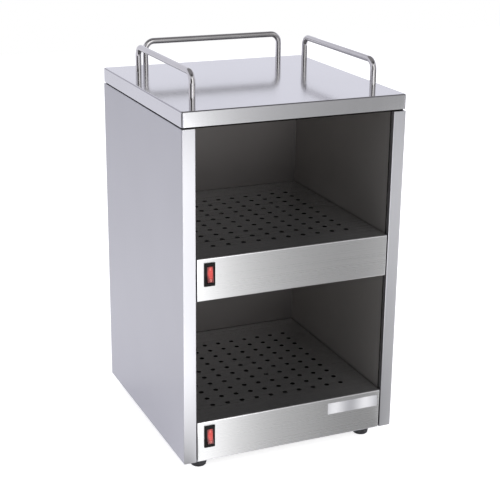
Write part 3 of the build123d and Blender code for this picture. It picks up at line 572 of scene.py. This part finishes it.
# The shelves' front bends get a painted highlight.
shelf_front_steel = satin_stainless("satin_stainless_shelf", "#C4C4C5", grain="X", folded_grain="Y",
                                    roughness=0.28, anisotropy=0.8, streak=0.008,
                                    wall_shade_behind=shelf_front + BEHIND_THE_BEND, bend=PAINTED_BRIGHT_BEND)
print(side_skin_steel.name, lid_steel.name, shelf_front_steel.name)

# %% [markdown]
# The bays are lined with the same sheet, left a little duller and seen only by light that has already
# bounced two or three times between the walls. Each bounce costs about half of the light, which is why
# the inside of such a cabinet looks almost black brown against its own front. The rear lining, the
# ceiling in the gap under the lid and the trays seen through the holes are given much darker colours on
# top of that, which is painted shade, and the side linings' front lips get painted shade too. A thin
# dull film scatters a little light on the side walls, so they grow lighter towards the opening. The
# brackets and the wiring cover keep the finish of the rolling mill, a soft mottle about 4 mm wide and
# 30 mm long.

# %% Liner stainless
# The side linings' forward-facing lips get painted shade.
side_liner_steel = satin_stainless("satin_stainless_side_liner", "#B2AFAC", grain="Z", folded_grain="Y",
                                   roughness=0.42, anisotropy=0.4, cloud=0.05, lip=True, metallic=0.85)
# The rear lining's darker colour is painted shade at the back of the bay.
rear_liner_steel = satin_stainless("shade_darkened_stainless_rear_liner", "#625F5E", grain="Z", folded_grain="Y",
                                   roughness=0.46, anisotropy=0.4, cloud=0.05)
mill_steel = satin_stainless("mill_finish_stainless", "#A9A8A8", grain="Y", folded_grain="X",
                             roughness=0.36, anisotropy=0.2, streak=0.03, width=0.004, length=0.030)
# The trays' darker colour is painted shade, for the dark seen through the deck's holes.
tray_steel = satin_stainless("shade_darkened_stainless_tray", "#565250", grain="Y", folded_grain="X",
                             roughness=0.55, anisotropy=0.2, cloud=0.06)
# The ceiling tray stands in the gap under the lid: its darker colour and black rims are painted shade.
ceiling_steel = satin_stainless("shade_darkened_stainless_ceiling", "#4A4543", grain="X", folded_grain="Y",
                                roughness=0.60, anisotropy=0.2, cloud=0.05, wall_shade_behind=WHOLE_PIECE)
print(side_liner_steel.name, rear_liner_steel.name, mill_steel.name, tray_steel.name, ceiling_steel.name)

# %% [markdown]
# The rails are 8 mm round bar of the same steel, ground and polished after bending. A polished bar is a
# mirror that squeezes the whole room into a strip a few millimetres wide: a white line for the
# sweep, dark lines for the room. Only a faint trace of the grinding is left, as a mottle in the gloss. It
# is drawn 0.9 mm wide, because the real one is too fine to show. Smears about 20 mm long come from
# hands. The screws and the cans of the thermostats are bright metal too, and only rougher.

# %% Polished metal
MOTTLE_WIDTH = 0.0009
SMEARS_PER_METRE = 45.0


def polished_metal(name, colour, roughness):
    """Ground and polished bar or sheet: a clear mirror with a faint mottle and smears."""
    material, tree = new_material(name)
    place = add(tree, "ShaderNodeTexCoord")
    spot = place.outputs["Object"]
    mottle = add(tree, "ShaderNodeTexNoise", {"Vector": spot, "Scale": 1 / MOTTLE_WIDTH, "Detail": 2.0})
    smear = add(tree, "ShaderNodeTexNoise", {"Vector": spot, "Scale": SMEARS_PER_METRE, "Detail": 2.0})
    both = add(tree, "ShaderNodeMath", {0: mottle.outputs["Fac"], 1: smear.outputs["Fac"]},
               operation="MULTIPLY")
    rough = add(tree, "ShaderNodeMapRange",
                {"Value": both.outputs[0], "From Min": 0.15, "From Max": 0.40,
                 "To Min": roughness * 0.7, "To Max": roughness * 1.4})
    tone = add(tree, "ShaderNodeMapRange",
               {"Value": smear.outputs["Fac"], "From Min": 0.3, "From Max": 0.7,
                "To Min": 0.95, "To Max": 1.03})
    paint = add(tree, "ShaderNodeVectorMath", {0: linear(colour)[:3], "Scale": tone.outputs[0]},
                operation="SCALE")
    finish_with(tree, add(tree, "ShaderNodeBsdfPrincipled",
                          {"Base Color": paint.outputs[0], "Metallic": 1.0, "Roughness": rough.outputs[0]}))
    return material


bar_steel = polished_metal("polished_stainless_bar", "#C4C2C3", 0.10)
fastener_steel = polished_metal("bright_stainless_fastener", "#BEBDBD", 0.24)
stamped_can = polished_metal("stamped_aluminium_can", "#C9C9C7", 0.34)
print(bar_steel.name, fastener_steel.name, stamped_can.name)

# %% [markdown]
# Each heating element is a stainless tube that has been glowing under the shelf. Oxide films a few
# hundred nanometres thick turn such a tube straw, then brown, then a dull blue grey in patches along
# its length, about 35 mm long, and take away its shine.

# %% Heat-stained tube
STAINS_PER_METRE = 28.0
STAIN_COLOURS = ((0.34, "#5F5148"), (0.52, "#5B6068"), (0.68, "#7B7671"))

heater_tube, tree = new_material("heat_stained_stainless_tube")
place = add(tree, "ShaderNodeTexCoord")
patches = add(tree, "ShaderNodeTexNoise",
              {"Vector": place.outputs["Object"], "Scale": STAINS_PER_METRE, "Detail": 3.0})
stain = add(tree, "ShaderNodeValToRGB", {"Fac": patches.outputs["Fac"]})
fill_ramp(stain.color_ramp, STAIN_COLOURS)
dulled = add(tree, "ShaderNodeMapRange", {"Value": patches.outputs["Fac"], "To Min": 0.34, "To Max": 0.52})
finish_with(tree, add(tree, "ShaderNodeBsdfPrincipled",
                      {"Base Color": stain.outputs[0], "Metallic": 1.0, "Roughness": dulled.outputs[0]}))
print(heater_tube.name)

# %% [markdown]
# The small moulded parts are ordinary engineering plastics: the switch bodies, gland and terminal block
# are nylon, moulded against a spark-eroded tool that leaves a fine even grain, and the feet and
# grommets are black rubber with the dusty bloom that rubber gets. The grain is about 0.05 mm on the real
# parts and is drawn at 0.3 to 0.5 mm. The heaters' end bushes are pressed and fired ceramic.

# %% Nylon, rubber and ceramic
BLOOMS_PER_METRE = 160.0
GRAIN_DEPTH = 0.0001


def moulded(name, colour, worn_colour, roughness, grain_size, relief, wear=0.5, shine=0.5):
    """A moulded plastic or rubber: an even tone with a fine grain, and a paler bloom in patches."""
    material, tree = new_material(name)
    place = add(tree, "ShaderNodeTexCoord")
    spot = place.outputs["Object"]
    grain = add(tree, "ShaderNodeTexNoise", {"Vector": spot, "Scale": 1 / grain_size, "Detail": 2.0})
    bloom = add(tree, "ShaderNodeTexNoise", {"Vector": spot, "Scale": BLOOMS_PER_METRE, "Detail": 3.0})
    share = add(tree, "ShaderNodeMapRange",
                {"Value": bloom.outputs["Fac"], "From Min": 0.45, "From Max": 0.75, "To Max": wear})
    paint = add(tree, "ShaderNodeMix",
                {"Factor": share.outputs[0], "A": linear(colour), "B": linear(worn_colour)},
                data_type="RGBA")
    rough = add(tree, "ShaderNodeMapRange",
                {"Value": grain.outputs["Fac"], "To Min": roughness - 0.08, "To Max": roughness + 0.08})
    bump = add(tree, "ShaderNodeBump",
               {"Height": grain.outputs["Fac"], "Strength": relief, "Distance": GRAIN_DEPTH})
    finish_with(tree, add(tree, "ShaderNodeBsdfPrincipled",
                          {"Base Color": paint.outputs[2], "Roughness": rough.outputs[0], "IOR": 1.5,
                           "Specular IOR Level": shine, "Normal": bump.outputs[0]}))
    return material


switch_nylon = moulded("black_nylon_switch_body", "#0A0707", "#151111",
                       roughness=0.58, grain_size=0.0004, relief=0.15, shine=0.16)
gland_nylon = moulded("black_nylon_gland", "#1B1B1D", "#2B2B2E",
                      roughness=0.46, grain_size=0.0004, relief=0.25)
foot_rubber = moulded("black_moulded_rubber", "#1C1C1D", "#3A3A3C",
                      roughness=0.62, grain_size=0.0005, relief=0.35, wear=0.8)
block_nylon = moulded("natural_nylon_block", "#DCD8CC", "#CFC9B9",
                      roughness=0.42, grain_size=0.0005, relief=0.15)
bush_ceramic = moulded("white_steatite_bush", "#E9E5DB", "#DAD3C5",
                       roughness=0.30, grain_size=0.0003, relief=0.10)
print(switch_nylon.name, gland_nylon.name, foot_rubber.name, block_nylon.name, bush_ceramic.name)

# %% [markdown]
# The rocker is clear red polycarbonate over a small neon lamp. The lamp sits behind the lens, a little
# above its middle, so the red is bright and a little milky there and falls off to a deep red at the ends
# and on the sides, which look almost black. That light and shade are painted into the lens's colour: lit
# red over the lamp, painted shade on the sides, and the lamp adds its own glow of the same shape. The
# glow is worked out from the distance to each lens's own middle, so it stays with the rocker as it tips.
# Faint ribs, 2.6 mm apart, are moulded inside the lens.

# %% Lit red lens
LAMP_OFF_MIDDLE = Vector((0.0005, 0, 0.0020))
GLOW_HALF_WIDTH, GLOW_HALF_HEIGHT = 0.0040, 0.0105
GLOW_FULL, GLOW_GONE = 0.50, 1.05
RIB_SCALE = 120.0
LENS_LOOKS_FORWARD = -0.7
LENS_SIDE_SHADE, LENS_FRONT, LENS_LIT = "#2C0507", "#64090C", "#C2342C"
LAMP_OFF, LAMP_ON = "#0C0001", "#C2322A"
LAMP_STRENGTH = 0.32

lens_middles = {name: (Vector(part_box(name)[0]) + Vector(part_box(name)[1])) / 2
                for name in ("lower_rocker", "upper_rocker")}


def lit_lens(name, middle):
    """Red polycarbonate with a lamp behind its middle; middle is in the object's own metres."""
    material, tree = new_material(name)
    place = add(tree, "ShaderNodeTexCoord")
    spot = place.outputs["Object"]
    offset = add(tree, "ShaderNodeVectorMath", {0: spot, 1: tuple(middle + LAMP_OFF_MIDDLE)},
                 operation="SUBTRACT")
    oval = add(tree, "ShaderNodeVectorMath",
               {0: offset.outputs[0], 1: (1 / GLOW_HALF_WIDTH, 0.0, 1 / GLOW_HALF_HEIGHT)},
               operation="MULTIPLY")
    reach = add(tree, "ShaderNodeVectorMath", {0: oval.outputs[0]}, operation="LENGTH")
    falloff = add(tree, "ShaderNodeMapRange",
                  {"Value": reach.outputs["Value"], "From Min": GLOW_FULL, "From Max": GLOW_GONE,
                   "To Min": 1.0, "To Max": 0.0},
                  interpolation_type="SMOOTHSTEP")
    ribs = add(tree, "ShaderNodeTexWave", {"Vector": spot, "Scale": RIB_SCALE, "Distortion": 1.2},
               bands_direction="Z")
    rippled = add(tree, "ShaderNodeMapRange", {"Value": ribs.outputs["Fac"], "To Min": 0.82, "To Max": 1.0})
    turned = add(tree, "ShaderNodeSeparateXYZ", {"Vector": place.outputs["Normal"]})
    front_face = add(tree, "ShaderNodeMath", {0: turned.outputs["Y"], 1: LENS_LOOKS_FORWARD},
                     operation="LESS_THAN")
    shone = add(tree, "ShaderNodeMath", {0: falloff.outputs[0], 1: rippled.outputs[0]},
                operation="MULTIPLY")
    glow = add(tree, "ShaderNodeMath", {0: shone.outputs[0], 1: front_face.outputs[0]},
               operation="MULTIPLY")
    # The lens's colour carries painted light: lit red over the lamp, and painted shade on the sides.
    body = add(tree, "ShaderNodeMix",
               {"Factor": front_face.outputs[0], "A": linear(LENS_SIDE_SHADE), "B": linear(LENS_FRONT)},
               data_type="RGBA")
    paint = add(tree, "ShaderNodeMix",
                {"Factor": glow.outputs[0], "A": body.outputs[2], "B": linear(LENS_LIT)},
                data_type="RGBA")
    lamp = add(tree, "ShaderNodeMix",
               {"Factor": glow.outputs[0], "A": linear(LAMP_OFF), "B": linear(LAMP_ON)},
               data_type="RGBA")
    finish_with(tree, add(tree, "ShaderNodeBsdfPrincipled",
                          {"Base Color": paint.outputs[2], "Roughness": 0.22, "IOR": 1.585,
                           "Emission Color": lamp.outputs[2], "Emission Strength": LAMP_STRENGTH}))
    return material


rocker_lens = {name: lit_lens("red_polycarbonate_" + name, middle) for name, middle in lens_middles.items()}
print({name: [round(1000 * v, 1) for v in middle] for name, middle in lens_middles.items()})

# %% [markdown]
# The remaining finishes are small: half-hard brass tabs with a brown tarnish in specks 2 to 3 mm wide,
# wires in a glass-fibre sleeve with its braid of about 0.8 mm, and the badge plate, which is a thin
# lacquered aluminium foil, left blank. Pale and grey bands 46 mm apart are painted into its colour, a
# painted reflection of a foil that isn't quite flat.

# %% Brass, sleeve and foil
TARNISH_PER_METRE = 380.0
BRAID_PITCH = 0.0008
PAINTED_SHEEN_PITCH, PAINTED_SHEEN_SHIFT = 0.046, 0.68
FOIL_GRAINS_PER_METRE = 1200.0

tab_brass, tree = new_material("half_hard_brass")
place = add(tree, "ShaderNodeTexCoord")
tarnish = add(tree, "ShaderNodeTexNoise",
              {"Vector": place.outputs["Object"], "Scale": TARNISH_PER_METRE, "Detail": 4.0})
paint = add(tree, "ShaderNodeMix",
            {"Factor": tarnish.outputs["Fac"], "A": linear("#D2B15E"), "B": linear("#A98444")},
            data_type="RGBA")
rough = add(tree, "ShaderNodeMapRange", {"Value": tarnish.outputs["Fac"], "To Min": 0.22, "To Max": 0.42})
finish_with(tree, add(tree, "ShaderNodeBsdfPrincipled",
                      {"Base Color": paint.outputs[2], "Metallic": 1.0, "Roughness": rough.outputs[0]}))

wire_sleeve, tree = new_material("glass_fibre_sleeve")
place = add(tree, "ShaderNodeTexCoord")
braid = add(tree, "ShaderNodeTexVoronoi", {"Vector": place.outputs["Object"], "Scale": 1 / BRAID_PITCH})
paint = add(tree, "ShaderNodeMix",
            {"Factor": braid.outputs["Distance"], "A": linear("#D9D3C4"), "B": linear("#A89F8C")},
            data_type="RGBA")
bump = add(tree, "ShaderNodeBump", {"Height": braid.outputs["Distance"], "Strength": 0.4, "Distance": 0.0002},
           invert=True)
finish_with(tree, add(tree, "ShaderNodeBsdfPrincipled",
                      {"Base Color": paint.outputs[2], "Roughness": 0.72, "IOR": 1.5,
                       "Normal": bump.outputs[0]}))

badge_foil, tree = new_material("lacquered_aluminium_foil")
place = add(tree, "ShaderNodeTexCoord")
painted_sheen = add(tree, "ShaderNodeTexWave",
            {"Vector": place.outputs["Object"], "Scale": 2 * math.pi / (20 * PAINTED_SHEEN_PITCH),
             "Phase Offset": PAINTED_SHEEN_SHIFT})
grain = add(tree, "ShaderNodeTexNoise",
            {"Vector": place.outputs["Object"], "Scale": FOIL_GRAINS_PER_METRE, "Detail": 2.0})
tone = add(tree, "ShaderNodeMapRange", {"Value": grain.outputs["Fac"], "To Min": 0.95, "To Max": 1.0})
# The pale and grey bands are painted reflection.
paint = add(tree, "ShaderNodeMix",
            {"Factor": painted_sheen.outputs["Fac"], "A": linear("#B8B8BC"), "B": linear("#F4F4F6")},
            data_type="RGBA")
paint = add(tree, "ShaderNodeVectorMath", {0: paint.outputs[2], 1: tone.outputs[0]}, operation="MULTIPLY")
finish_with(tree, add(tree, "ShaderNodeBsdfPrincipled",
                      {"Base Color": paint.outputs[0], "Metallic": 0.35, "Roughness": 0.28}))
print(tab_brass.name, wire_sleeve.name, badge_foil.name)

# %% [markdown]
# Every solid piece now gets its finish. A list by piece name shows at a glance what is made of what, as
# the parts list of the real cabinet would.

# %% Which piece has which finish
finish_of = {
    "lid": lid_steel,
    "left_side_panel": side_skin_steel, "right_side_panel": side_skin_steel, "rear_panel": side_skin_steel,
    "left_inner_wall": side_liner_steel, "right_inner_wall": side_liner_steel,
    "rear_inner_wall": rear_liner_steel, "ceiling_tray": ceiling_steel,
    "wiring_cover": mill_steel, "harness_clips": mill_steel,
    "left_rail": bar_steel, "right_rail": bar_steel, "rear_rail": bar_steel,
    "gland_body": gland_nylon, "gland_cap": gland_nylon, "gland_locknut": gland_nylon,
    "gland_seal": foot_rubber, "terminal_block": block_nylon, "badge_plate": badge_foil,
}
for name in ("rail_washers", "lid_screws", "ceiling_screws", "rear_screws", "shelf_screws", "lip_screws",
             "foot_screws", "m4_nuts", "m5_nuts", "liner_rivets", "earth_screw"):
    finish_of[name] = fastener_steel
for name in ("front_left", "front_right", "rear_left", "rear_right"):
    finish_of[name + "_foot"] = foot_rubber
for shelf in ("lower", "upper"):
    finish_of.update({
        shelf + "_shelf_deck": shelf_front_steel, shelf + "_shelf_tray": tray_steel,
        shelf + "_heater": heater_tube, shelf + "_heater_terminals": bush_ceramic,
        shelf + "_front_heater_bracket": mill_steel, shelf + "_rear_heater_bracket": mill_steel,
        shelf + "_thermostat": stamped_can, shelf + "_switch_body": switch_nylon,
        shelf + "_rocker": rocker_lens[shelf + "_rocker"], shelf + "_switch_tabs": tab_brass,
        shelf + "_wire_grommet": foot_rubber, shelf + "_harness": wire_sleeve,
        shelf + "_heater_leads": wire_sleeve,
    })

for name, piece in cad.items():
    if not piece.material_slots:
        piece.data.materials.append(finish_of[name])
    for material_slot in piece.material_slots:
        material_slot.link = "OBJECT"
        material_slot.material = finish_of[name]
print(len(finish_of), "pieces finished, none left out:", set(cad) == set(finish_of))

# %% [markdown]
# A rocker switch carries two marks that every country reads: a bar for on at the top and a ring for off
# at the bottom. They are moulded a tenth of a millimetre proud of the lens. Each mark is a flat outline
# with a hole or without one, laid on the lens where a ray from the front meets it, and tilted to the
# lens's own face, so it rides with the rocker.

# %% On and off marks
MARK_HEIGHT, MARK_ROOT = 0.00012, 0.00006
RING_OUTER, RING_INNER = 0.00150, 0.00095
RING_POINTS = 32
BAR_HALF_WIDTH, BAR_HALF_HEIGHT = 0.00035, 0.00155
MARK_DISTANCE = 0.0068
RAY_FROM_Y = -0.2

mark_plastic = moulded("pale_moulded_mark", "#DE8276", "#D2756A",
                       roughness=0.40, grain_size=0.0004, relief=0.1)


def raised_outline(name, outlines, origin, side, rise, out):
    """A low plate from closed outlines of (side, rise) points: one outline, or an outer and an inner one."""
    count = len(outlines[0])
    verts = [tuple(origin + side * a + rise * b + out * level)
             for level in (-MARK_ROOT, MARK_HEIGHT) for outline in outlines for a, b in outline]
    ring = len(outlines) * count
    walls = []
    for loop in range(len(outlines)):
        for i in range(count):
            low, high = loop * count + i, loop * count + (i + 1) % count
            if loop == 0:
                walls.append((low, high, high + ring, low + ring))
            else:
                walls.append((high, low, low + ring, high + ring))
    if len(outlines) == 1:
        caps = [tuple(range(ring, 2 * ring)), tuple(reversed(range(count)))]
    else:
        caps = []
        for i in range(count):
            j = (i + 1) % count
            caps.append((ring + i, ring + j, ring + count + j, ring + count + i))
            caps.append((j, i, count + i, count + j))
    mesh = bpy.data.meshes.new(name)
    mesh.from_pydata(verts, [], walls + caps)
    mesh.materials.append(mark_plastic)
    piece = bpy.data.objects.new(name, mesh)
    bpy.context.scene.collection.objects.link(piece)
    return piece


def circle(radius):
    """Points round a circle."""
    angles = [2 * math.pi * i / RING_POINTS for i in range(RING_POINTS)]
    return [(radius * math.cos(angle), radius * math.sin(angle)) for angle in angles]


bar = [(-BAR_HALF_WIDTH, -BAR_HALF_HEIGHT), (BAR_HALF_WIDTH, -BAR_HALF_HEIGHT),
       (BAR_HALF_WIDTH, BAR_HALF_HEIGHT), (-BAR_HALF_WIDTH, BAR_HALF_HEIGHT)]
side = Vector((1, 0, 0))
for name, middle in lens_middles.items():
    for mark, outlines, height in (("on", [bar], MARK_DISTANCE),
                                   ("off", [circle(RING_OUTER), circle(RING_INNER)], -MARK_DISTANCE)):
        ray_start = Vector((middle.x, RAY_FROM_Y, middle.z + height))
        met, point, facing, _ = cad[name].ray_cast(ray_start, Vector((0, 1, 0)))
        rise = facing.cross(side).normalized()
        piece = raised_outline(name + "_" + mark + "_mark", outlines, point, side, rise, facing)
        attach(piece, name)
        print(piece.name, "met the lens:", met, [round(1000 * v, 1) for v in point])

# %% [markdown]
# No sheared or folded edge is a perfect corner. A bevel of 0.15 to 0.5 mm gives each one the thin bright
# line that the eye takes for thickness. It is added as a modifier, so the solid underneath keeps its
# exact shape. A weighted normal modifier after it lets the large flat faces shade as flat, and leaves the
# turn of the light to the bends.

# %% Broken edges
EDGE_WIDTH = {
    "lid": 0.00015, "left_side_panel": 0.0002, "right_side_panel": 0.0005,
    "lower_shelf_deck": 0.0002, "upper_shelf_deck": 0.0002, "ceiling_tray": 0.0003, "rear_panel": 0.0003,
    "lower_switch_body": 0.0003, "upper_switch_body": 0.0003, "badge_plate": 0.0002,
    "gland_body": 0.0004, "gland_locknut": 0.0004, "wiring_cover": 0.0003,
}
SEAM_GAP = 0.00001
SHARP_DEGREES = 50
FLAT_FACE_WEIGHT = 90

for name, width in EDGE_WIDTH.items():
    piece = cad[name]
    welded = piece.modifiers.new("join_seams", "WELD")
    welded.merge_threshold = SEAM_GAP
    broken = piece.modifiers.new("broken_edge", "BEVEL")
    broken.width = width
    broken.segments = 2
    broken.limit_method = "ANGLE"
    broken.angle_limit = math.radians(SHARP_DEGREES)
    broken.harden_normals = True
    flat = piece.modifiers.new("flat_faces", "WEIGHTED_NORMAL")
    flat.weight = FLAT_FACE_WEIGHT
    flat.keep_sharp = True
print(len(EDGE_WIDTH), "pieces with broken edges")
